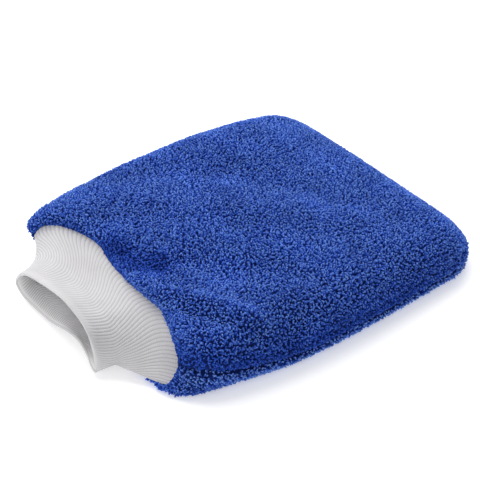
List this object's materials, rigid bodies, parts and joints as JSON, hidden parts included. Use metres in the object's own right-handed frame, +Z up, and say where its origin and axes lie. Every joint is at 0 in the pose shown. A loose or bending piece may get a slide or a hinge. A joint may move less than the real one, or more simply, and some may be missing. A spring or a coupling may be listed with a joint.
{
  "type": "wash mitt",
  "caption": "Flat pillow-shaped terry mitt with a rib-knit cuff: a soft hand covering for washing a car.",
  "frame": {"origin": "under the middle of the whole mitt, cuff included, on the plane it lies on", "axes": "+X from the cuff to the finger end, +Y across to the side the cuff leans to, +Z up from the sole that lies on the table"},
  "size_m": [0.226, 0.1908, 0.035],
  "materials": {
    "terry": "blue looped terry pile, matte",
    "rib_knit": "white fine rib knit, matte",
    "blue_thread": "spun polyester thread, dark blue",
    "white_thread": "spun polyester thread, white"
  },
  "bodies": {
    "mitt": {"upper_panel": "terry", "lower_panel": "terry", "edge_needle_thread": "blue_thread", "edge_overlock_thread": "blue_thread"},
    "cuff": {"rib_cuff": "rib_knit", "cuff_needle_thread": "white_thread", "cuff_overlock_thread": "white_thread"}
  },
  "joints": [
    {"name": "cuff_bend", "type": "hinge", "parent": "mitt", "child": "cuff", "pos_m": [-0.083, 0, 0.0145], "axis": [0, 1, 0], "range_deg": [-4, 35], "stiffness_Nm_per_rad": 0.05}
  ]
}
